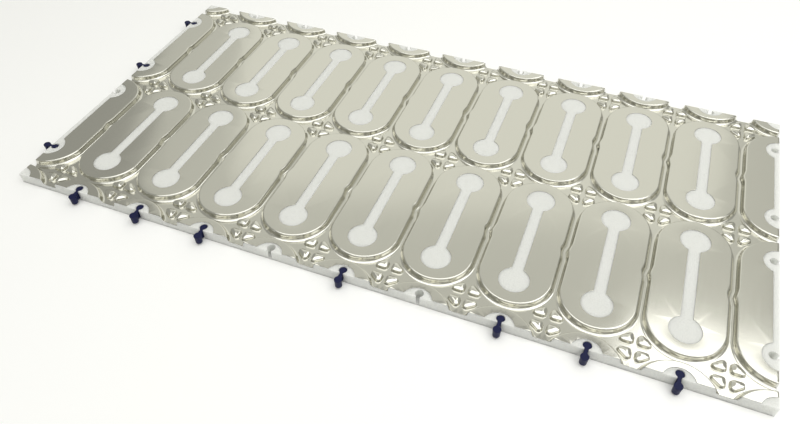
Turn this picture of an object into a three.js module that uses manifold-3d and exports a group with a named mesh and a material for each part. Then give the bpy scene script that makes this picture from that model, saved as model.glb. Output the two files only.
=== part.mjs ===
// Dry-construction underfloor-heating panel: a white foam board, the pressed aluminium heat-spreading
// sheet bonded over it, and the push-in plastic connectors that tie it to the panels around it.
// Millimetres, +Z up, origin in the middle of the underside, +X along the length, +Y towards the back.
import * as THREE from "three";
import { mergeVertices } from "three/addons/utils/BufferGeometryUtils.js";
import Module from "manifold-3d";

// Plan of the panel
const COLUMN_PITCH = 125; // spacing of the pipe grooves
const BAYS = 10; // groove spacings along the length
const PANEL_WIDTH = 625;
const GROOVE_WIDTH = 13.5; // between the metal walls of two knobs, for a 12 mm pipe
const END_GAP = 11; // between the ends of two knobs in a column
const EDGE_DOME_DEPTH = 28.25; // how far the cut knobs reach in from the front and back edges
const JOG = 3; // sideways step that holds the pipe halfway along each groove
const JOG_RUN = 16; // length of each flank of the step

// Levels of the metal's upper surface
const OVERALL_HEIGHT = 20;
const FLOOR_LEVEL = 9.2;
const BUMP_LEVEL = 16.5;

// Sheet and bond line
const SHEET_THICKNESS = 0.5;
const BOND_GAP = 0.3;
const SHEET_MARGIN = 1.5; // bare foam left along every edge
const CORNER_CUT_X = 12;
const CORNER_CUT_Y = 14;

// Clusters of four bumps where the grooves meet
const BUMP_SLIT_X = 4; // between the left and the right bumps
const BUMP_SLIT_Y = 8; // between the front and the back bumps
const BUMP_REACH = 23; // from the middle of the cluster to the tips of a bump
const BUMP_DRAFT = 3; // how far the top of a bump is drawn in from its foot

// Dumbbell windows in the tops of the knobs, and the half-round ones at the front and back edges
const WINDOW_RADIUS = 24;
const WINDOW_END_INSET = 44; // from a knob's end to the centre of the window's round end
const WINDOW_NECK = 18.5;
const EDGE_WINDOW_RADIUS = 23.5;
const EDGE_WINDOW_OFFSET = 6; // centre of the edge window, outside the board

// Connectors
const DISC_RADIUS = 6.5;
const DISC_SPACING = 19;
const NECK_WIDTH = 5.5;
const CONNECTOR_HEIGHT = 15.5;
const PLATE_THICKNESS = 2;
const PLUG_TOP_RADIUS = 6;
const PLUG_TIP_RADIUS = 5.6;
const WEB_INSET = 0.5; // from the side of the neck to the web under it
const CONNECTOR_SUNK = 0.7; // plate below the top of the foam
const CONNECTOR_OVERHANG = 1.5; // from the board's edge out to the middle of a connector
const SOCKET_CLEARANCE = 0.4;
const FITTED_FRONT = [1, 2, 3, 5, 7, 8, 9]; // columns with a connector in their front socket
const FITTED_LEFT = [1, 3, 4]; // sockets with a connector, from the front, on the left edge

// Sizes that follow from those
const PANEL_LENGTH = BAYS * COLUMN_PITCH;
const ROW_PITCH = PANEL_WIDTH / 2 - END_GAP / 2 - EDGE_DOME_DEPTH;
const KNOB_LENGTH = ROW_PITCH - END_GAP;
const KNOB_HALF_WIDTH = (COLUMN_PITCH - GROOVE_WIDTH) / 2;
const WINDOW_SPACING = KNOB_LENGTH - 2 * WINDOW_END_INSET;
const FOAM_INSET = SHEET_THICKNESS + BOND_GAP;
const FOAM_TOP = OVERALL_HEIGHT - FOAM_INSET;
const CONNECTOR_TOP = FOAM_TOP - CONNECTOR_SUNK;
const OVERRUN = 5; // cutting shapes run this far past what they cut
const KNOB_ROWS = [-1.5, -0.5, 0.5, 1.5]; // in row pitches; the edges cut the outer two
const BUMP_ROWS = [-1, 0, 1];
const ARC_STEPS = 4; // the round end of a knob or window has twice as many chords
const PLUG_SIDES = 8;
const BUMP_ROOT = 1; // how far a bump's straight foot reaches down into the floor
const MERGE_DISTANCE = 1e-4;

const wasm = await Module();
wasm.setup();

/** Closed three.js geometry to a manifold solid. */
function toSolid(geometry) {
  const bare = geometry.index ? geometry.toNonIndexed() : geometry.clone();
  bare.deleteAttribute("normal");
  bare.deleteAttribute("uv");
  const merged = mergeVertices(bare, MERGE_DISTANCE);
  const vertProperties = merged.attributes.position.array;
  const triVerts = new Uint32Array(merged.index.array);
  return new wasm.Manifold(new wasm.Mesh({ numProp: 3, vertProperties, triVerts }));
}

/** Manifold solid back to a three.js geometry. */
function toGeometry(solid) {
  const mesh = solid.getMesh();
  const geometry = new THREE.BufferGeometry();
  geometry.setAttribute("position", new THREE.BufferAttribute(mesh.vertProperties, 3));
  geometry.setIndex(new THREE.BufferAttribute(mesh.triVerts, 1));
  geometry.computeVertexNormals();
  return geometry;
}

/** Outline extruded from one level to another. */
function prism(shape, low, high, curveSegments = ARC_STEPS) {
  const options = { depth: high - low, bevelEnabled: false, curveSegments };
  return new THREE.ExtrudeGeometry(shape, options).translate(0, 0, low);
}

function rectangle(length, width) {
  const shape = new THREE.Shape();
  shape.moveTo(-length / 2, -width / 2);
  shape.lineTo(length / 2, -width / 2);
  shape.lineTo(length / 2, width / 2);
  shape.lineTo(-length / 2, width / 2);
  return shape;
}

/** Knob outline: long sides with the jog to the left, and round ends, drawn in by `skin`. */
function knobOutline(skin) {
  const radius = KNOB_HALF_WIDTH - skin;
  const straight = KNOB_LENGTH / 2 - KNOB_HALF_WIDTH;
  const shape = new THREE.Shape();
  shape.moveTo(radius, -straight);
  shape.lineTo(radius, -JOG_RUN);
  shape.lineTo(radius - JOG, 0);
  shape.lineTo(radius, JOG_RUN);
  shape.absarc(0, straight, radius, 0, Math.PI);
  shape.lineTo(-radius, JOG_RUN);
  shape.lineTo(-radius - JOG, 0);
  shape.lineTo(-radius, -JOG_RUN);
  shape.absarc(0, -straight, radius, Math.PI, 2 * Math.PI);
  return shape;
}

/** Two discs joined by a neck, along Y: a window in the sheet, or a connector seen from above. */
function dumbbell(radius, spacing, neck) {
  const half = Math.asin(neck / 2 / radius);
  const shape = new THREE.Shape();
  shape.absarc(0, spacing / 2, radius, half - Math.PI / 2, 1.5 * Math.PI - half);
  shape.absarc(0, -spacing / 2, radius, Math.PI / 2 + half, 2.5 * Math.PI - half);
  return shape;
}

/** One bump of a cluster, in the quadrant (sideX, sideY), standing from the underside. */
function bumpGeometry(skin, sideX, sideY) {
  const cornerX = BUMP_SLIT_X / 2;
  const cornerY = BUMP_SLIT_Y / 2;
  const legX = BUMP_REACH - cornerX;
  const legY = BUMP_REACH - cornerY;
  const inradius = (legX + legY - Math.hypot(legX, legY)) / 2;
  const centreX = sideX * (cornerX + inradius);
  const centreY = sideY * (cornerY + inradius);
  const shape = new THREE.Shape();
  shape.moveTo(sideX * cornerX, sideY * cornerY);
  shape.lineTo(sideX * BUMP_REACH, sideY * cornerY);
  shape.lineTo(sideX * cornerX, sideY * BUMP_REACH);
  const foot = 1 - skin / inradius;
  const crown = 1 - (skin + BUMP_DRAFT) / inradius;
  const low = FLOOR_LEVEL - skin - BUMP_ROOT;
  const geometry = prism(shape, low, BUMP_LEVEL - skin);
  const position = geometry.attributes.position;
  for (let i = 0; i < position.count; i++) {
    const factor = position.getZ(i) > low + BUMP_ROOT ? crown : foot;
    position.setX(i, centreX + (position.getX(i) - centreX) * factor);
    position.setY(i, centreY + (position.getY(i) - centreY) * factor);
  }
  return geometry;
}

/** Solid with the panel's relief, its upper surface `skin` inside the metal's, running past the edges. */
function relief(skin) {
  const slab = rectangle(PANEL_LENGTH + 2 * OVERRUN, PANEL_WIDTH + 2 * OVERRUN);
  const knob = prism(knobOutline(skin), 0, OVERALL_HEIGHT - skin);
  let body = toSolid(prism(slab, 0, FLOOR_LEVEL - skin));
  for (let column = 0; column <= BAYS; column++) {
    const x = (column - BAYS / 2) * COLUMN_PITCH;
    for (const row of KNOB_ROWS) {
      body = body.add(toSolid(knob.clone().translate(x, row * ROW_PITCH, 0)));
    }
  }
  for (let bay = 0; bay < BAYS; bay++) {
    const x = (bay + 0.5 - BAYS / 2) * COLUMN_PITCH;
    for (const row of BUMP_ROWS) {
      for (const [sideX, sideY] of [[1, 1], [-1, 1], [-1, -1], [1, -1]]) {
        const bump = bumpGeometry(skin, sideX, sideY);
        body = body.add(toSolid(bump.translate(x, row * ROW_PITCH, 0)));
      }
    }
  }
  return body;
}

/** Where the sockets are: one at every round window end that the panel's edge cuts. */
function socketPlaces() {
  const places = [];
  const outX = PANEL_LENGTH / 2 + CONNECTOR_OVERHANG;
  const outY = PANEL_WIDTH / 2 + CONNECTOR_OVERHANG;
  for (let column = 1; column < BAYS; column++) {
    const x = (column - BAYS / 2) * COLUMN_PITCH;
    places.push({ edge: "front", number: column, x, y: -outY, turn: 0 });
    places.push({ edge: "back", number: column, x, y: outY, turn: 0 });
  }
  const ends = [-0.5, 0.5].flatMap((row) =>
    [-0.5, 0.5].map((end) => row * ROW_PITCH + end * WINDOW_SPACING),
  );
  ends.forEach((y, index) => {
    const number = index + 1;
    places.push({ edge: "left", number, x: -outX, y, turn: Math.PI / 2 });
    places.push({ edge: "right", number, x: outX, y, turn: Math.PI / 2 });
  });
  return places;
}

const SOCKETS = socketPlaces();

function foamBoard() {
  const block = prism(rectangle(PANEL_LENGTH, PANEL_WIDTH), 0, OVERALL_HEIGHT);
  let board = relief(FOAM_INSET).intersect(toSolid(block));
  const radius = DISC_RADIUS + SOCKET_CLEARANCE;
  const outline = dumbbell(radius, DISC_SPACING, NECK_WIDTH + 2 * SOCKET_CLEARANCE);
  const bottom = CONNECTOR_TOP - CONNECTOR_HEIGHT - SOCKET_CLEARANCE;
  const pocket = prism(outline, bottom, OVERALL_HEIGHT + OVERRUN);
  for (const { x, y, turn } of SOCKETS) {
    board = board.subtract(toSolid(pocket.clone().rotateZ(turn).translate(x, y, 0)));
  }
  return toGeometry(board);
}

/** Edge of the sheet: the board's, less the bare margin and the cut corners. */
function sheetOutline() {
  const x = PANEL_LENGTH / 2 - SHEET_MARGIN;
  const y = PANEL_WIDTH / 2 - SHEET_MARGIN;
  const corners = [[1, 1], [-1, 1], [-1, -1], [1, -1]];
  const points = corners.flatMap(([sideX, sideY]) => {
    const onEnd = new THREE.Vector2(sideX * x, sideY * (y - CORNER_CUT_Y));
    const onSide = new THREE.Vector2(sideX * (x - CORNER_CUT_X), sideY * y);
    return sideX * sideY > 0 ? [onEnd, onSide] : [onSide, onEnd];
  });
  return new THREE.Shape(points);
}

function spreaderSheet() {
  const skin = relief(0).subtract(relief(SHEET_THICKNESS));
  const low = FLOOR_LEVEL + OVERRUN;
  const high = OVERALL_HEIGHT + OVERRUN;
  const window = prism(dumbbell(WINDOW_RADIUS, WINDOW_SPACING, WINDOW_NECK), low, high);
  const disc = new THREE.Shape().absarc(0, 0, EDGE_WINDOW_RADIUS, 0, 2 * Math.PI);
  const edgeWindow = prism(disc, low, high, 2 * ARC_STEPS);
  let sheet = skin.intersect(toSolid(prism(sheetOutline(), 0, OVERALL_HEIGHT + OVERRUN)));
  for (let column = 0; column <= BAYS; column++) {
    const x = (column - BAYS / 2) * COLUMN_PITCH;
    for (const side of [-1, 1]) {
      const y = side * (PANEL_WIDTH / 2 + EDGE_WINDOW_OFFSET);
      sheet = sheet.subtract(toSolid(window.clone().translate(x, (side * ROW_PITCH) / 2, 0)));
      if (column > 0 && column < BAYS) {
        sheet = sheet.subtract(toSolid(edgeWindow.clone().translate(x, y, 0)));
      }
    }
  }
  return toGeometry(sheet);
}

/** Connector across an edge that runs along X: plate on top, a tapered plug under each disc, and a web. */
function connectorGeometry() {
  const underPlate = CONNECTOR_TOP - PLATE_THICKNESS;
  const root = underPlate + PLATE_THICKNESS / 2; // the plugs and the web reach into the plate
  const tip = CONNECTOR_TOP - CONNECTOR_HEIGHT;
  const plate = prism(dumbbell(DISC_RADIUS, DISC_SPACING, NECK_WIDTH), underPlate, CONNECTOR_TOP);
  const plug = new THREE.CylinderGeometry(PLUG_TOP_RADIUS, PLUG_TIP_RADIUS, root - tip, PLUG_SIDES);
  plug.rotateX(Math.PI / 2).translate(0, 0, (root + tip) / 2);
  const web = prism(rectangle(NECK_WIDTH - 2 * WEB_INSET, DISC_SPACING), tip, root);
  const body = toSolid(plate)
    .add(toSolid(plug.clone().translate(0, DISC_SPACING / 2, 0)))
    .add(toSolid(plug.clone().translate(0, -DISC_SPACING / 2, 0)))
    .add(toSolid(web));
  return toGeometry(body);
}

const foam = new THREE.MeshStandardMaterial({ color: 0xf0f1ef, roughness: 0.85, metalness: 0 });
const aluminium = new THREE.MeshStandardMaterial({ color: 0xb9b8ae, roughness: 0.38, metalness: 1 });
const navyPlastic = new THREE.MeshStandardMaterial({ color: 0x1b1d40, roughness: 0.45, metalness: 0 });

const panel = new THREE.Group();

function addPiece(name, geometry, material) {
  const mesh = new THREE.Mesh(geometry, material);
  mesh.name = name;
  panel.add(mesh);
  return mesh;
}

addPiece("foam_board", foamBoard(), foam);
addPiece("spreader_sheet", spreaderSheet(), aluminium);

const fitted = { front: FITTED_FRONT, left: FITTED_LEFT };
const connector = connectorGeometry();
for (const { edge, number, x, y, turn } of SOCKETS) {
  if (fitted[edge]?.includes(number)) {
    const mesh = addPiece(`connector_${edge}_${number}`, connector, navyPlastic);
    mesh.position.set(x, y, 0);
    mesh.rotation.z = turn;
  }
}

export default panel;
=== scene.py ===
"""Underfloor-heating panel: foam board, pressed aluminium sheet and push-in connectors.

Everything is in metres in the CAD model's own frame: +X along the panel's length, +Y towards its
back edge, +Z up, with the origin in the middle of the underside.
"""

import logging
import math
from dataclasses import dataclass, field
from enum import Enum
from typing import Iterable

import bmesh
import bpy
from mathutils import Matrix, Vector


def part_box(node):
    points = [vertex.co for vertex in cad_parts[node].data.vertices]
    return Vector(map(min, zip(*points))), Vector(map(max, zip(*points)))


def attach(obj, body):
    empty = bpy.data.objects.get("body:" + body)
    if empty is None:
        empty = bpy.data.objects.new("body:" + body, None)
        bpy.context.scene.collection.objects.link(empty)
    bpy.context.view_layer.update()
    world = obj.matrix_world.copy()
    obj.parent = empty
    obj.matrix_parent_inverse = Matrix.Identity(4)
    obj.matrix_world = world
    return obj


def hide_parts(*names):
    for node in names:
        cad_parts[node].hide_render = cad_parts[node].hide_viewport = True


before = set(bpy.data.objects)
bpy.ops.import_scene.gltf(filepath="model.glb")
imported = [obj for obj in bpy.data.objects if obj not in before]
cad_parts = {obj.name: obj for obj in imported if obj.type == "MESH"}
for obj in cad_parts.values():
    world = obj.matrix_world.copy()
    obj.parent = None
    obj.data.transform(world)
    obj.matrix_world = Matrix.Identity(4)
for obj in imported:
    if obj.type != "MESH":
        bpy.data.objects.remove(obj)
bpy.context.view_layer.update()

MM = 0.001
WELD = 0.01 * MM  # vertices closer than this are one
EASE_CHORDS = 3  # chords in each hollow corner of a dumbbell
LARGEST_WEIGHT = 100  # lets a face's area alone decide the normals
MIX_A, MIX_B, MIX_RESULT = 6, 7, 2  # a Mix node's sockets for colours
log = logging.getLogger("panel")

Point = tuple[float, float]  # x and y on the plan
Step = tuple[float, float]  # inwards and upwards
Place = tuple[float, float, float]


# Small tools


def linear(hex_colour: str) -> tuple[float, float, float, float]:
    """Turns an sRGB colour such as "#c8c6bc" into linear RGBA.

    Args:
        hex_colour: a hash and six hexadecimal digits.

    Returns:
        Red, green, blue and alpha, each from 0 to 1.
    """
    channels = [int(hex_colour[i : i + 2], 16) / 255 for i in (1, 3, 5)]
    straight = [c / 12.92 if c <= 0.04045 else ((c + 0.055) / 1.055) ** 2.4 for c in channels]
    return (*straight, 1.0)


def add_node(tree: bpy.types.NodeTree, kind: str, settings: dict | None = None,
             links: dict | None = None) -> bpy.types.Node:
    """Adds a shader node with its settings and links.

    Args:
        tree: the node tree that gets the node.
        kind: the node's type, such as "ShaderNodeBump".
        settings: attribute or input names with their values.
        links: input names or numbers with the output sockets that feed them.

    Returns:
        The new node.
    """
    node = tree.nodes.new(kind)
    for name, value in (settings or {}).items():
        if isinstance(name, str) and hasattr(node, name):
            setattr(node, name, value)
        else:
            node.inputs[name].default_value = value
    for name, socket in (links or {}).items():
        tree.links.new(socket, node.inputs[name])
    return node


def fillet_steps(radius: float, segments: int, hollow: bool) -> list[Step]:
    """Steps inwards and upwards round a quarter circle, for `raise_rings`.

    Args:
        radius: the fillet's radius.
        segments: how many flats it gets.
        hollow: True where a flat floor turns up into a wall, False where a wall turns into a top.

    Returns:
        One (inwards, upwards) pair for each flat.
    """
    angles = [0.5 * math.pi * i / segments for i in range(segments + 1)]
    if hollow:
        points = [(radius * math.sin(a), radius * (1 - math.cos(a))) for a in angles]
    else:
        points = [(radius * (1 - math.cos(a)), radius * math.sin(a)) for a in angles]
    return [(b[0] - a[0], b[1] - a[1]) for a, b in zip(points, points[1:])]


def raise_rings(bm: bmesh.types.BMesh, face: bmesh.types.BMFace, steps: Iterable[Step]) -> None:
    """Insets a face again and again, moving it along its normal each time.

    Args:
        bm: the mesh.
        face: the face that ends as the innermost one.
        steps: (inwards, upwards) pairs in metres.
    """
    for across, up in steps:
        bmesh.ops.inset_region(bm, faces=[face], thickness=across, depth=up, use_even_offset=True,
                               use_boundary=True)


def ring_of(bm: bmesh.types.BMesh, points: Iterable[Point],
            level: float) -> list[bmesh.types.BMEdge]:
    """Closed loop of edges through plan points.

    Args:
        bm: the mesh.
        points: (x, y) pairs, in order.
        level: their height.

    Returns:
        The loop's edges.
    """
    verts = [bm.verts.new((x, y, level)) for x, y in points]
    return [bm.edges.new(pair) for pair in zip(verts, verts[1:] + verts[:1])]


def capped(bm: bmesh.types.BMesh, edges: list[bmesh.types.BMEdge],
           up: bool = True) -> bmesh.types.BMFace:
    """Closes a flat loop of edges with one face.

    Args:
        bm: the mesh.
        edges: the loop.
        up: True where the face looks up, False where it looks down.

    Returns:
        The face.
    """
    face = bmesh.ops.contextual_create(bm, geom=edges)["faces"][0]
    face.normal_update()
    if (face.normal.z > 0) != up:
        face.normal_flip()
    return face


def arc(centre: Vector, radius: float, start: float, end: float, segments: int) -> list[Point]:
    """Plan points along an arc from one angle to another, both ends included."""
    turns = [start + (end - start) * i / segments for i in range(segments + 1)]
    return [(centre.x + radius * math.cos(t), centre.y + radius * math.sin(t)) for t in turns]


def dumbbell(radius: float, spacing: float, neck: float, ease: float,
             segments: int) -> list[Point]:
    """Plan of two discs joined by a neck along Y, anticlockwise.

    Args:
        radius: the discs' radius.
        spacing: distance between their centres.
        neck: the neck's width.
        ease: radius of the hollow corners between the discs and the neck.
        segments: how many chords each disc gets.

    Returns:
        (x, y) pairs.
    """
    side = neck / 2 + ease
    drop = math.sqrt((radius + ease) ** 2 - side**2)
    meet = math.atan2(drop, side)
    end, corner = Vector((0, spacing / 2)), Vector((side, spacing / 2 - drop))
    upper = arc(corner, ease, math.pi, math.pi - meet, EASE_CHORDS)[:-1]
    upper += arc(end, radius, -meet, math.pi + meet, segments)
    upper += arc(Vector((-side, corner.y)), ease, meet, 0, EASE_CHORDS)[1:]
    return upper + [(-x, -y) for x, y in upper]


def grown(core: list[Vector], radius: float, segments: int) -> list[Point]:
    """Plan of an anticlockwise convex polygon grown outwards, with rounded corners.

    Args:
        core: the polygon's corners.
        radius: how far it grows.
        segments: how many chords each corner gets.

    Returns:
        (x, y) pairs, as many for every radius.
    """
    points = []
    for before, here, after in zip(core[-1:] + core[:-1], core, core[1:] + core[:1]):
        first = Vector((here.y - before.y, before.x - here.x))
        second = Vector((after.y - here.y, here.x - after.x))
        start = math.atan2(first.y, first.x)
        turn = math.atan2(first.cross(second), first.dot(second))
        points += arc(here, radius, start, start + turn, segments)
    return points


def stack(bm: bmesh.types.BMesh, core: list[Vector], radius: float, level: float,
          steps: Iterable[Step], segments: int) -> bmesh.types.BMFace:
    """Raises a rounded pad over a polygon, ring by ring, and closes its top.

    Args:
        bm: the mesh.
        core: the polygon that the pad rounds off.
        radius: how far the pad's foot reaches beyond it.
        level: height of the foot.
        steps: (inwards, upwards) pairs.
        segments: how many chords each corner gets.

    Returns:
        The pad's top face.
    """
    ring = [bm.verts.new((x, y, level)) for x, y in grown(core, radius, segments)]
    for across, up in steps:
        radius, level = radius - across, level + up
        lower = ring
        ring = [bm.verts.new((x, y, level)) for x, y in grown(core, radius, segments)]
        for i, vert in enumerate(ring):
            bm.faces.new((lower[i - 1], lower[i], vert, ring[i - 1]))
    top = bm.faces.new(ring)
    top.normal_update()
    return top


def new_piece(name: str, bm: bmesh.types.BMesh,
              material: bpy.types.Material) -> bpy.types.Object:
    """Turns a finished bmesh into an object at the origin, smooth shaded.

    Args:
        name: the piece's name.
        bm: its mesh, which is freed.
        material: its finish.

    Returns:
        The object, linked to the scene.
    """
    mesh = bpy.data.meshes.new(name)
    for face in bm.faces:
        face.smooth = True
    bm.to_mesh(mesh)
    bm.free()
    mesh.materials.append(material)
    piece = bpy.data.objects.new(name, mesh)
    bpy.context.scene.collection.objects.link(piece)
    return piece


def keep_flats_flat(piece: bpy.types.Object) -> None:
    """Weights a piece's normals by area, so that big flats stay flat beside small fillets.

    Args:
        piece: the piece, which gets a modifier.
    """
    weighted = piece.modifiers.new("even_normals", "WEIGHTED_NORMAL")
    weighted.mode = "FACE_AREA"
    weighted.weight = LARGEST_WEIGHT
    weighted.keep_sharp = True


def bake_modifiers(piece: bpy.types.Object) -> None:
    """Applies a piece's modifiers to its mesh.

    Args:
        piece: the piece, which keeps no modifier.
    """
    graph = bpy.context.evaluated_depsgraph_get()
    graph.update()
    done = bpy.data.meshes.new_from_object(piece.evaluated_get(graph))
    piece.modifiers.clear()
    piece.data = done


def new_finish(name: str) -> tuple[bpy.types.Material, bpy.types.Node, bpy.types.NodeSocket]:
    """Starts a finish whose patterns lie on the piece's own coordinates.

    Args:
        name: the material's name.

    Returns:
        The material, its shader node and the coordinates.
    """
    made = bpy.data.materials.new(name)
    made.use_nodes = True
    where = add_node(made.node_tree, "ShaderNodeTexCoord").outputs["Object"]
    return made, made.node_tree.nodes["Principled BSDF"], where


# Finishes


@dataclass(frozen=True)
class MouldedFoam:
    """Expanded polystyrene, steam moulded: soft white, with the flat cells of its pressed beads."""

    colour: str = "#e0e1dd"
    seam_colour: str = "#d2d3cf"
    ior: float = 1.45
    roughness: float = 0.78
    bead: float = 3.6 * MM
    seam_width: float = 0.09  # share of a bead
    seam_depth: float = 0.12 * MM
    seam_strength: float = 0.35
    translucency: float = 0.9
    light_reach: float = 14 * MM  # how far light wanders between the beads

    def material(self) -> bpy.types.Material:
        """Builds the shader.

        Returns:
            The foam's material.
        """
        made, shader, where = new_finish("moulded_foam")
        tree = made.node_tree
        shader.inputs["Roughness"].default_value = self.roughness
        shader.inputs["IOR"].default_value = self.ior
        shader.inputs["Subsurface Weight"].default_value = self.translucency
        shader.inputs["Subsurface Radius"].default_value = (1.0, 1.0, 1.0)  # all colours alike
        shader.inputs["Subsurface Scale"].default_value = self.light_reach
        # Beads meet in flat-sided cells; the seams between them are the only relief on the skin.
        cells = add_node(tree, "ShaderNodeTexVoronoi",
                         {"feature": "DISTANCE_TO_EDGE", "Scale": 1 / self.bead},
                         {"Vector": where})
        seams = add_node(tree, "ShaderNodeMapRange",
                         {"From Min": 0.0, "From Max": self.seam_width},
                         {"Value": cells.outputs["Distance"]})
        tone = add_node(tree, "ShaderNodeMix",
                        {"data_type": "RGBA", "clamp_factor": True},
                        {"Factor": seams.outputs["Result"]})
        tone.inputs[MIX_A].default_value = linear(self.seam_colour)
        tone.inputs[MIX_B].default_value = linear(self.colour)
        bump = add_node(tree, "ShaderNodeBump",
                        {"Strength": self.seam_strength, "Distance": self.seam_depth},
                        {"Height": seams.outputs["Result"]})
        tree.links.new(tone.outputs[MIX_RESULT], shader.inputs["Base Color"])
        tree.links.new(bump.outputs["Normal"], shader.inputs["Normal"])
        return made


@dataclass(frozen=True)
class MillAluminium:
    """Thin rolled aluminium, mill finish, pressed: satin, with rolling lines and soft waves."""

    colour: str = "#d8d7ce"
    roughness: float = 0.15
    roughness_spread: float = 0.02
    line_spacing: float = 0.9 * MM  # real lines are finer; drawn coarse enough to show
    line_length: float = 60 * MM
    line_depth: float = 0.004 * MM
    line_strength: float = 0.6
    line_detail: float = 3.0
    line_range: tuple[float, float] = (0.3, 0.7)  # where most of the noise lies
    wave_length: float = 90 * MM
    wave_depth: float = 0.15 * MM
    wave_detail: float = 1.0

    def material(self) -> bpy.types.Material:
        """Builds the shader.

        Returns:
            The metal's material.
        """
        made, shader, where = new_finish("mill_aluminium")
        tree = made.node_tree
        shader.inputs["Metallic"].default_value = 1.0
        shader.inputs["Base Color"].default_value = linear(self.colour)
        # Rolling leaves long hair lines across the panel, which streak the gloss.
        along = 1 / self.line_length
        stretch = add_node(tree, "ShaderNodeMapping",
                           {"Scale": (1 / self.line_spacing, along, along)}, {"Vector": where})
        lines = add_node(tree, "ShaderNodeTexNoise", {"Scale": 1.0, "Detail": self.line_detail},
                         {"Vector": stretch.outputs["Vector"]})
        gloss = add_node(tree, "ShaderNodeMapRange",
                         {"From Min": self.line_range[0], "From Max": self.line_range[1],
                          "To Min": self.roughness - self.roughness_spread,
                          "To Max": self.roughness + self.roughness_spread},
                         {"Value": lines.outputs["Fac"]})
        # Pressing leaves the thin sheet faintly wavy, which bends what it mirrors.
        waves = add_node(tree, "ShaderNodeTexNoise",
                         {"Scale": 1 / self.wave_length, "Detail": self.wave_detail},
                         {"Vector": where})
        wavy = add_node(tree, "ShaderNodeBump", {"Strength": 1.0, "Distance": self.wave_depth},
                        {"Height": waves.outputs["Fac"]})
        lined = add_node(tree, "ShaderNodeBump",
                         {"Strength": self.line_strength, "Distance": self.line_depth},
                         {"Height": lines.outputs["Fac"], "Normal": wavy.outputs["Normal"]})
        tree.links.new(gloss.outputs["Result"], shader.inputs["Roughness"])
        tree.links.new(lined.outputs["Normal"], shader.inputs["Normal"])
        return made


@dataclass(frozen=True)
class MouldedPlastic:
    """Injection-moulded polyamide, very dark navy, with a fine eroded mould texture."""

    colour: str = "#0a113c"
    ior: float = 1.53
    roughness: float = 0.45
    roughness_spread: float = 0.06
    specular: float = 0.22
    grain: float = 0.5 * MM
    grain_detail: float = 2.0
    grain_depth: float = 0.02 * MM
    grain_strength: float = 0.5

    def material(self) -> bpy.types.Material:
        """Builds the shader.

        Returns:
            The plastic's material.
        """
        made, shader, where = new_finish("moulded_plastic")
        tree = made.node_tree
        shader.inputs["Base Color"].default_value = linear(self.colour)
        shader.inputs["IOR"].default_value = self.ior
        shader.inputs["Specular IOR Level"].default_value = self.specular
        grain = add_node(tree, "ShaderNodeTexNoise",
                         {"Scale": 1 / self.grain, "Detail": self.grain_detail},
                         {"Vector": where})
        gloss = add_node(tree, "ShaderNodeMapRange",
                         {"To Min": self.roughness - self.roughness_spread,
                          "To Max": self.roughness + self.roughness_spread},
                         {"Value": grain.outputs["Fac"]})
        bump = add_node(tree, "ShaderNodeBump",
                        {"Strength": self.grain_strength, "Distance": self.grain_depth},
                        {"Height": grain.outputs["Fac"]})
        tree.links.new(gloss.outputs["Result"], shader.inputs["Roughness"])
        tree.links.new(bump.outputs["Normal"], shader.inputs["Normal"])
        return made


# The panel's plan and relief


class Layer(Enum):
    """Which surface of the panel a relief is for."""

    METAL = "metal"
    FOAM = "foam"


@dataclass
class PanelPlan:
    """Plan and levels of the knobs, grooves and bumps, fitted to the CAD board and sheet."""

    bays: int = 10
    groove_width: float = 11 * MM  # halfway down
    end_gap: float = 11 * MM  # between the ends of two knobs
    edge_dome_depth: float = 28.25 * MM  # how much of a cut knob is left on the board
    jog: float = 3 * MM
    jog_run: float = 16 * MM  # from the jog's tip to where the wall is straight again
    floor_level: float = 9.2 * MM
    bump_level: float = 16.5 * MM
    window_radius: float = 24 * MM
    window_end_inset: float = 44 * MM  # from a knob's end to the middle of its disc
    window_neck: float = 18.5 * MM
    window_ease: float = 2 * MM
    window_segments: int = 28
    edge_window_radius: float = 23.5 * MM
    edge_window_segments: int = 40
    edge_window_offset: float = 6 * MM  # from the board's edge out to the window's middle
    outer_row: float = 1.5  # rows lie half a pitch and one and a half from the middle
    board_low: Vector = field(default_factory=lambda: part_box("foam_board")[0])
    board_high: Vector = field(default_factory=lambda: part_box("foam_board")[1])
    sheet_high: Vector = field(default_factory=lambda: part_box("spreader_sheet")[1])

    def __post_init__(self) -> None:
        """Works out what follows from the board's size."""
        self.length = self.board_high.x - self.board_low.x
        self.width = self.board_high.y - self.board_low.y
        self.pitch = self.length / self.bays
        self.row_pitch = self.width / 2 - self.end_gap / 2 - self.edge_dome_depth
        self.knob_length = self.row_pitch - self.end_gap
        self.knob_half_width = (self.pitch - self.groove_width) / 2
        self.window_spacing = self.knob_length - 2 * self.window_end_inset
        self.foam_drop = self.sheet_high.z - self.board_high.z

    def rows(self) -> list[tuple[float, int]]:
        """Y of every row of knobs, with the side of the edge that cuts it, or 0."""
        shares = (-self.outer_row, -0.5, 0.5, self.outer_row)
        return [(share * self.row_pitch, int(share / self.outer_row)) for share in shares]

    def columns(self) -> list[float]:
        """X of every column of knobs, the halves at the ends included."""
        return [(i - self.bays / 2) * self.pitch for i in range(self.bays + 1)]


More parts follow.
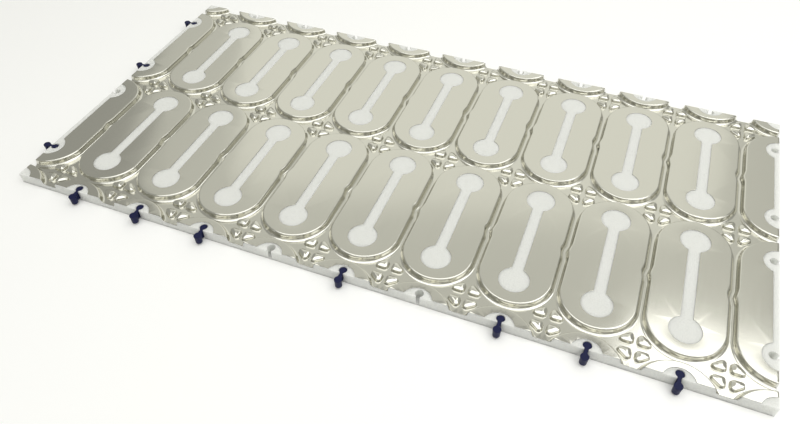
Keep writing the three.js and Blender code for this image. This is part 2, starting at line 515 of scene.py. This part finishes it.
@dataclass
class Relief:
    """The pressed surface: knobs, floor and bumps, made as one cell and repeated over the panel."""

    plan: PanelPlan
    layer: Layer
    round_segments: int = 44
    jog_points: int = 7
    foot_radius: float = 4.5 * MM  # nearly meets the next knob's, so the pipe's bed is round
    crown_radius: float = 2.4 * MM
    wall_draft: float = 0.4 * MM
    rim_flat: float = 0.25 * MM  # thin ring that keeps a fillet's shading off the flats
    fillet_segments: int = 5
    bump_slit_x: float = 3 * MM
    bump_slit_y: float = 7 * MM
    bump_reach: float = 23.5 * MM
    bump_corner: float = 6.5 * MM
    bump_corner_segments: int = 4
    bump_foot_radius: float = 0.7 * MM
    bump_foot_segments: int = 2
    bump_draft: float = 0.9 * MM
    bump_crown_radius: float = 1.4 * MM
    bump_crown_segments: int = 3
    # Each ring of the dome: its share of the ring below, and how far it rises.
    bump_dome: tuple[Step, ...] = ((0.75, 0.8 * MM), (0.65, 0.5 * MM), (0.45, 0.2 * MM))
    boss_gap: float = 1.1 * MM
    boss_draft: float = 0.1 * MM
    boss_round: float = 0.5 * MM
    boss_segments: int = 2
    boss_sink: float = 0.15 * MM  # how far it stays below the metal's top

    def __post_init__(self) -> None:
        """Sets how far this surface lies inside the metal's upper one."""
        self.drop = self.plan.foam_drop if self.layer is Layer.FOAM else 0.0
        self.floor = self.plan.floor_level - self.drop

    def knob_steps(self) -> list[Step]:
        """Rings from the foot of a knob's wall to its flat top.

        Returns:
            (inwards, upwards) pairs.
        """
        height = self.plan.sheet_high.z - self.plan.floor_level
        wall = height - self.foot_radius - self.crown_radius
        return [
            (self.rim_flat, 0.0),
            *fillet_steps(self.foot_radius, self.fillet_segments, hollow=True),
            (self.wall_draft, wall),
            *fillet_steps(self.crown_radius, self.fillet_segments, hollow=False),
            (self.rim_flat, 0.0),
        ]

    def knob_foot(self, bm: bmesh.types.BMesh) -> list[bmesh.types.BMEdge]:
        """Loop round a knob's foot: a stretched circle with the pipe-holding jog in its sides.

        Args:
            bm: the mesh that gets the loop.

        Returns:
            The loop's edges.
        """
        plan = self.plan
        half_step = math.pi / self.round_segments
        reach = (plan.knob_half_width + self.rim_flat + self.foot_radius + self.wall_draft / 2
                 - self.drop)
        turn = Matrix.Translation((0, 0, self.floor)) @ Matrix.Rotation(half_step, 4, "Z")
        made = bmesh.ops.create_circle(bm, segments=self.round_segments,
                                       radius=reach / math.cos(half_step), matrix=turn)["verts"]
        straight = plan.knob_length / 2 - plan.knob_half_width
        for side in (1, -1):
            half = [v for v in made if v.co.y * side > 0]
            bmesh.ops.translate(bm, vec=(0, side * straight, 0), verts=half)
        loop = list({e for v in made for e in v.link_edges})
        for sign in (1, -1):
            long_side = [e for e in loop if e.verts[0].co.y * e.verts[1].co.y < 0
                         and e.verts[0].co.x * sign > 0]
            cut = bmesh.ops.subdivide_edges(bm, edges=long_side, cuts=self.jog_points)
            fresh = [g for g in cut["geom_inner"] if isinstance(g, bmesh.types.BMVert)]
            fresh.sort(key=lambda v: v.co.y)
            for i, vert in enumerate(fresh):
                share = 2 * i / (self.jog_points - 1) - 1
                vert.co.y = share * plan.jog_run
                vert.co.x -= plan.jog * (1 - abs(share))
        near = {v for v in bm.verts if abs(v.co.z - self.floor) < WELD}
        return [e for e in bm.edges if e.verts[0] in near and e.verts[1] in near]

    def bump(self, bm: bmesh.types.BMesh, side_x: int, side_y: int) -> None:
        """Adds the bump in one corner of the cell: a domed three-sided pad with round corners.

        Args:
            bm: the cell's mesh.
            side_x: -1 or 1, the corner's side along X.
            side_y: -1 or 1, the corner's side along Y.
        """
        corner = Vector((side_x * self.plan.pitch / 2, side_y * self.plan.row_pitch / 2))
        near_x = self.bump_slit_x / 2 + self.bump_corner
        near_y = self.bump_slit_y / 2 + self.bump_corner
        far = self.bump_reach - self.bump_corner
        core = [(near_x, near_y), (far, near_y), (near_x, far)]
        core = [Vector((corner.x - side_x * x, corner.y - side_y * y)) for x, y in core]
        rise = self.plan.bump_level - self.plan.floor_level - sum(up for _, up in self.bump_dome)
        wall = rise - self.bump_foot_radius - self.bump_crown_radius
        steps = [
            (self.rim_flat, 0.0),
            *fillet_steps(self.bump_foot_radius, self.bump_foot_segments, hollow=True),
            (self.bump_draft, wall),
            *fillet_steps(self.bump_crown_radius, self.bump_crown_segments, hollow=False),
        ]
        if side_x != side_y:
            core.reverse()
        top = stack(bm, core, self.bump_corner, self.floor, steps, self.bump_corner_segments)
        for share, up in self.bump_dome:
            top = bmesh.ops.extrude_discrete_faces(bm, faces=[top])["faces"][0]
            middle = Matrix.Translation(-top.calc_center_median())
            bmesh.ops.scale(bm, vec=(share, share, 1), space=middle, verts=top.verts)
            bmesh.ops.translate(bm, vec=(0, 0, up), verts=top.verts)

    def window(self, row_side: int, inset: float) -> list[Point]:
        """Plan of a knob's window.

        Args:
            row_side: 0 for a whole knob's dumbbell, -1 or 1 for the round window of a knob that
                the front or back edge cuts, centred just outside the board.
            inset: how far inside the metal's edge.

        Returns:
            (x, y) pairs about the knob's middle.
        """
        plan = self.plan
        if row_side == 0:
            return dumbbell(plan.window_radius - inset, plan.window_spacing,
                            plan.window_neck - 2 * inset, plan.window_ease + inset,
                            plan.window_segments)
        past = plan.width / 2 + plan.edge_window_offset - plan.outer_row * plan.row_pitch
        return arc(Vector((0, row_side * past)), plan.edge_window_radius - inset, 0,
                   2 * math.pi, plan.edge_window_segments)[:-1]

    def cell(self, row_side: int) -> bpy.types.Mesh:
        """One cell: floor, a knob and the four bumps in its corners.

        Args:
            row_side: 0 for a whole knob, -1 or 1 for one that the front or back edge cuts.

        Returns:
            The cell as a mesh about its own middle, at its real levels.
        """
        plan = self.plan
        bm = bmesh.new()
        knob = capped(bm, self.knob_foot(bm))
        raise_rings(bm, knob, self.knob_steps())
        top = plan.sheet_high.z - self.drop
        rim = list(knob.edges)
        bmesh.ops.delete(bm, geom=[knob], context="FACES_ONLY")
        inset = self.boss_gap if self.layer is Layer.FOAM else 0.0
        opening = ring_of(bm, self.window(row_side, inset), top)
        bmesh.ops.triangle_fill(bm, edges=rim + opening, use_beauty=True, normal=(0, 0, 1))
        if self.layer is Layer.FOAM:  # the foam fills the window, nearly flush with the metal
            boss = capped(bm, opening)
            wall = self.drop - self.boss_round - self.boss_sink
            crown = fillet_steps(self.boss_round, self.boss_segments, hollow=False)
            raise_rings(bm, boss, [(self.boss_draft, wall), *crown])
        for side_x in (-1, 1):
            for side_y in (-1, 1):
                self.bump(bm, side_x, side_y)
        floor_rim = [e for e in bm.edges if e.is_boundary
                     and all(abs(v.co.z - self.floor) < WELD for v in e.verts)]
        half_x, half_y = plan.pitch / 2, plan.row_pitch / 2
        bend = [(-plan.jog * (1 - abs(share)), share * plan.jog_run) for share in (-1, 0, 1)]
        right = [(half_x + x, y) for x, y in bend]
        left = [(x - half_x, y) for x, y in reversed(bend)]
        border = ring_of(bm, [(-half_x, -half_y), (half_x, -half_y), *right, (half_x, half_y),
                              (-half_x, half_y), *left], self.floor)
        bmesh.ops.triangle_fill(bm, edges=border + floor_rim, use_beauty=True, normal=(0, 0, 1))
        bmesh.ops.recalc_face_normals(bm, faces=bm.faces)
        bm.normal_update()
        if sum(f.normal.z * f.calc_area() for f in bm.faces) < 0:
            bmesh.ops.reverse_faces(bm, faces=bm.faces)
        mesh = bpy.data.meshes.new("cell")
        bm.to_mesh(mesh)
        bm.free()
        return mesh

    def surface(self) -> bmesh.types.BMesh:
        """The whole relief, running past the panel's edges.

        Returns:
            One welded surface.
        """
        bm = bmesh.new()
        for y, row_side in self.plan.rows():
            cell = self.cell(row_side)
            for x in self.plan.columns():
                before = len(bm.verts)
                bm.from_mesh(cell)
                bm.verts.ensure_lookup_table()
                bmesh.ops.translate(bm, vec=(x, y, 0), verts=bm.verts[before:])
            bpy.data.meshes.remove(cell)
        bmesh.ops.remove_doubles(bm, verts=bm.verts, dist=WELD)
        return bm


def trim(bm: bmesh.types.BMesh, point: Vector | Place, outwards: Place) -> None:
    """Cuts away everything beyond a vertical plane."""
    geom = [*bm.verts, *bm.edges, *bm.faces]
    bmesh.ops.bisect_plane(bm, geom=geom, dist=WELD, plane_co=point, plane_no=outwards,
                           clear_outer=True)


def trim_to_box(bm: bmesh.types.BMesh, low: Vector, high: Vector) -> None:
    """Cuts a surface to a box's four sides.

    Args:
        bm: the surface.
        low: the box's lowest corner.
        high: its highest corner.
    """
    trim(bm, low, (-1, 0, 0))
    trim(bm, low, (0, -1, 0))
    trim(bm, high, (1, 0, 0))
    trim(bm, high, (0, 1, 0))


# The pieces


@dataclass
class SpreaderSheet:
    """Pressed aluminium sheet bonded over the board."""

    plan: PanelPlan
    thickness: float = 0.5 * MM
    corner_cut_x: float = 12 * MM
    corner_cut_y: float = 14 * MM

    def build(self, finish: bpy.types.Material) -> bpy.types.Object:
        """Presses the sheet, trims it and cuts its corners.

        Args:
            finish: the metal's material.

        Returns:
            The piece.
        """
        low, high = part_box("spreader_sheet")
        bm = Relief(self.plan, Layer.METAL).surface()
        trim_to_box(bm, low, high)
        for side_x in (-1, 1):
            for side_y in (-1, 1):
                point = (side_x * (high.x - self.corner_cut_x), side_y * high.y, 0)
                trim(bm, point, (side_x * self.corner_cut_y, side_y * self.corner_cut_x, 0))
        piece = new_piece("spreader_sheet_pressed", bm, finish)
        solid = piece.modifiers.new("thickness", "SOLIDIFY")
        solid.thickness = self.thickness
        solid.offset = -1
        keep_flats_flat(piece)
        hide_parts("spreader_sheet")
        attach(piece, "panel")
        return piece


@dataclass
class FoamBoard:
    """Moulded foam board under the sheet, with a socket in every window disc that an edge cuts."""

    plan: PanelPlan
    round_segments: int = 32
    fillet_segments: int = 2
    disc_radius: float = 6.9 * MM
    disc_spacing: float = 19 * MM
    disc_segments: int = 16
    neck_width: float = 6.3 * MM
    neck_ease: float = 1 * MM
    socket_bottom: float = 2.6 * MM
    cutter_height: float = 20 * MM  # well past the board's top
    socket_overhang: float = 1.5 * MM  # from the board's edge out to the middle of a socket
    edge_round: float = 1.2 * MM
    edge_segments: int = 3
    sharp_angle: float = math.radians(35)

    def socket_places(self) -> list[tuple[float, float, float]]:
        """Where the sockets are: one in every window disc that an edge of the board cuts.

        Returns:
            X, Y and turn of every socket.
        """
        plan = self.plan
        reach = Vector((self.socket_overhang, self.socket_overhang, 0))
        low, high = plan.board_low - reach, plan.board_high + reach
        places = []
        for x in plan.columns()[1:-1]:
            places += [(x, low.y, 0.0), (x, high.y, 0.0)]
        for row in (-0.5, 0.5):
            for end in (-0.5, 0.5):
                y = row * plan.row_pitch + end * plan.window_spacing
                places += [(low.x, y, math.pi / 2), (high.x, y, math.pi / 2)]
        return places

    def socket_cutter(self) -> bpy.types.Object:
        """All sockets as cutting shapes.

        Returns:
            One object with a closed shell for every socket.
        """
        bm = bmesh.new()
        points = dumbbell(self.disc_radius, self.disc_spacing, self.neck_width, self.neck_ease,
                          self.disc_segments)
        for x, y, turn in self.socket_places():
            before = set(bm.verts)
            face = capped(bm, ring_of(bm, points, self.socket_bottom), up=False)
            raised = bmesh.ops.extrude_face_region(bm, geom=[face])["geom"]
            top = [g for g in raised if isinstance(g, bmesh.types.BMVert)]
            bmesh.ops.translate(bm, vec=(0, 0, self.cutter_height), verts=top)
            fresh = [v for v in bm.verts if v not in before]
            bmesh.ops.rotate(bm, matrix=Matrix.Rotation(turn, 3, "Z"), verts=fresh)
            bmesh.ops.translate(bm, vec=(x, y, 0), verts=fresh)
        bmesh.ops.recalc_face_normals(bm, faces=bm.faces)
        return new_piece("socket_cutter", bm, bpy.data.materials.new("cutter"))

    def turn_down(self, bm: bmesh.types.BMesh, inset: float,
                  step: Step) -> list[bmesh.types.BMVert]:
        """Extrudes the board's open rim outwards and down.

        Args:
            bm: the mesh.
            inset: how far the rim is inside the board's sides.
            step: how far it goes (outwards, down).

        Returns:
            The new rim's vertices.
        """
        middle = (self.plan.board_low + self.plan.board_high) / 2
        half = (self.plan.board_high - self.plan.board_low) / 2
        rim = [e for e in bm.edges if e.is_boundary]
        extruded = bmesh.ops.extrude_edge_only(bm, edges=rim)["geom"]
        verts = [g for g in extruded if isinstance(g, bmesh.types.BMVert)]
        for vert in verts:
            for axis in (0, 1):
                offset = vert.co[axis] - middle[axis]
                if half[axis] - abs(offset) < inset + 2 * WELD:
                    vert.co[axis] += math.copysign(step[0], offset)
            vert.co.z -= step[1]
        return verts

    def build(self, finish: bpy.types.Material) -> bpy.types.Object:
        """Moulds the board and cuts its sockets.

        Args:
            finish: the foam's material.

        Returns:
            The piece.
        """
        plan = self.plan
        bm = Relief(plan, Layer.FOAM, round_segments=self.round_segments,
                    fillet_segments=self.fillet_segments).surface()
        inner = Vector((self.edge_round, self.edge_round, 0))
        trim_to_box(bm, plan.board_low + inner, plan.board_high - inner)
        inset = self.edge_round
        for step in reversed(fillet_steps(self.edge_round, self.edge_segments, hollow=False)):
            self.turn_down(bm, inset, step)
            inset -= step[0]
        for vert in self.turn_down(bm, 0.0, (0.0, 0.0)):
            vert.co.z = plan.board_low.z
        bmesh.ops.edgeloop_fill(bm, edges=[e for e in bm.edges if e.is_boundary])
        bmesh.ops.recalc_face_normals(bm, faces=bm.faces)
        piece = new_piece("foam_board_moulded", bm, finish)
        cutter = self.socket_cutter()
        cut = piece.modifiers.new("sockets", "BOOLEAN")
        cut.operation = "DIFFERENCE"
        cut.solver = "EXACT"
        cut.object = cutter
        bake_modifiers(piece)
        bpy.data.objects.remove(cutter)
        piece.data.set_sharp_from_angle(angle=self.sharp_angle)
        keep_flats_flat(piece)
        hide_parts("foam_board")
        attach(piece, "panel")
        return piece


@dataclass
class Connector:
    """Push-in connector: a bone-shaped plate over a tapered plug, half of it in the panel.

    The other half stands out past the edge, for the next panel's socket.
    """

    node: str
    disc_radius: float = 6.35 * MM
    disc_spacing: float = 19 * MM
    disc_segments: int = 24
    neck_width: float = 5.4 * MM
    neck_ease: float = 1.5 * MM
    plate_thickness: float = 2.0 * MM
    plate_round: float = 0.5 * MM
    ledge: float = 0.4 * MM
    plug_draft: float = 0.4 * MM
    tip_round: float = 0.7 * MM
    round_segments: int = 3
    sharp_angle: float = math.radians(50)

    def build(self, finish: bpy.types.Material) -> bpy.types.Object:
        """Moulds the connector where its CAD node is.

        Args:
            finish: the plastic's material.

        Returns:
            The piece.
        """
        low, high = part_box(self.node)
        centre = (low + high) / 2
        across = high.x - low.x > high.y - low.y
        level = high.z - self.plate_thickness
        points = dumbbell(self.disc_radius, self.disc_spacing, self.neck_width, self.neck_ease,
                          self.disc_segments)
        bm = bmesh.new()
        plate = capped(bm, ring_of(bm, points, level))
        crown = fillet_steps(self.plate_round, self.round_segments, hollow=False)
        raise_rings(bm, plate, [(0.0, self.plate_thickness - self.plate_round), *crown])
        plug = capped(bm, ring_of(bm, points, level), up=False)
        drop = level - low.z - self.tip_round
        tip = fillet_steps(self.tip_round, self.round_segments, hollow=False)
        raise_rings(bm, plug, [(self.ledge, 0.0), (self.plug_draft, drop), *tip])
        bmesh.ops.remove_doubles(bm, verts=bm.verts, dist=WELD)
        if across:
            bmesh.ops.rotate(bm, matrix=Matrix.Rotation(math.pi / 2, 3, "Z"), verts=bm.verts)
        bmesh.ops.translate(bm, vec=(centre.x, centre.y, 0), verts=bm.verts)
        bmesh.ops.recalc_face_normals(bm, faces=bm.faces)
        piece = new_piece(f"{self.node}_moulded", bm, finish)
        piece.data.set_sharp_from_angle(angle=self.sharp_angle)
        keep_flats_flat(piece)
        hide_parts(self.node)
        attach(piece, self.node)
        return piece


# The studio


WARM = "#fffff6"  # faint yellow of the surrounding air and of the lights behind the panel


@dataclass(frozen=True)
class Softbox:
    """Rectangular soft light, which the metal mirrors but the camera doesn't see."""

    name: str
    place: Place
    aim: Place
    size: tuple[float, float]
    watts: float
    colour: str = "#ffffff"

    def build(self) -> None:
        """Hangs the light and turns it to its aim."""
        data = bpy.data.lights.new(self.name, "AREA")
        data.shape = "RECTANGLE"
        data.size, data.size_y = self.size
        data.energy = self.watts
        data.color = linear(self.colour)[:3]
        light = bpy.data.objects.new(self.name, data)
        light.visible_camera = False
        towards = Vector(self.aim) - Vector(self.place)
        turn = towards.to_track_quat("-Z", "Y").to_matrix().to_4x4()
        light.matrix_world = Matrix.Translation(self.place) @ turn
        bpy.context.scene.collection.objects.link(light)


@dataclass
class Studio:
    """Pale floor, soft lights and the camera."""

    camera_place: Place = (0.322, -0.8805, 0.829)
    camera_view: Place = (-0.2540, 0.6438, -0.7218)
    camera_roll: float = -0.37
    lens: float = 30.34
    sensor_width: float = 36
    clip_start: float = 0.01
    floor_size: float = 14.0
    floor_colour: str = "#fbfbfa"
    floor_roughness: float = 0.9
    air: float = 0.40
    lights: tuple[Softbox, ...] = (
        Softbox("wide_softbox", (-0.52, 2.47, 1.97), (0, 0, 0), (4.4, 2.9), 10.8, WARM),
        Softbox("low_softbox", (-0.5, 2.5, 1.55), (0, 0, 0), (3.0, 1.8), 4.3, WARM),
        Softbox("right_softbox", (1.5, 1.3, 3.0), (1.5, 1.3, 0), (1.4, 1.7), 14.5),
        Softbox("front_softbox", (0.84, -2.3, 2.6), (0, 0, 0), (5.0, 1.7), 22),
        Softbox("side_softbox", (3.0, -0.5, 1.2), (0, 0, 0), (2.4, 2.0), 9),
        Softbox("overhead_softbox", (1.2, -0.35, 3.0), (1.2, -0.35, 0), (6.0, 2.5), 66),
    )

    def camera(self) -> None:
        """Adds the camera and makes it the scene's."""
        data = bpy.data.cameras.new("camera")
        data.lens = self.lens
        data.sensor_width = self.sensor_width
        data.clip_start = self.clip_start
        camera = bpy.data.objects.new("camera", data)
        turn = Vector(self.camera_view).to_track_quat("-Z", "Y").to_matrix().to_4x4()
        roll = Matrix.Rotation(math.radians(self.camera_roll), 4, "Z")
        camera.matrix_world = Matrix.Translation(self.camera_place) @ turn @ roll
        bpy.context.scene.collection.objects.link(camera)
        bpy.context.scene.camera = camera

    def floor(self) -> None:
        """Adds the floor that the panel lies on."""
        made = bpy.data.materials.new("studio_floor")
        made.use_nodes = True
        shader = made.node_tree.nodes["Principled BSDF"]
        shader.inputs["Base Color"].default_value = linear(self.floor_colour)
        shader.inputs["Roughness"].default_value = self.floor_roughness
        bm = bmesh.new()
        bmesh.ops.create_grid(bm, x_segments=1, y_segments=1, size=self.floor_size / 2)
        new_piece("studio_floor", bm, made)

    def build(self) -> None:
        """Sets up the camera, floor, lights and surrounding air."""
        self.camera()
        self.floor()
        world = bpy.data.worlds.new("studio_air")
        world.use_nodes = True
        background = world.node_tree.nodes["Background"]
        background.inputs["Strength"].default_value = self.air
        background.inputs["Color"].default_value = linear(WARM)
        bpy.context.scene.world = world
        bpy.context.scene.view_settings.view_transform = "Standard"
        for light in self.lights:
            light.build()


def main() -> None:
    """Builds the studio and every piece of the panel."""
    logging.basicConfig(level=logging.INFO, format="%(message)s")
    Studio().build()
    plan = PanelPlan()
    foam = MouldedFoam().material()
    metal = MillAluminium().material()
    plastic = MouldedPlastic().material()
    pieces = [FoamBoard(plan).build(foam), SpreaderSheet(plan).build(metal)]
    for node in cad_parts:
        if node.startswith("connector"):
            pieces.append(Connector(node).build(plastic))
    graph = bpy.context.evaluated_depsgraph_get()
    for piece in pieces:
        mesh = piece.evaluated_get(graph).to_mesh()
        mesh.calc_loop_triangles()
        log.info("%s: %d triangles", piece.name, len(mesh.loop_triangles))


if __name__ == "__main__":
    main()
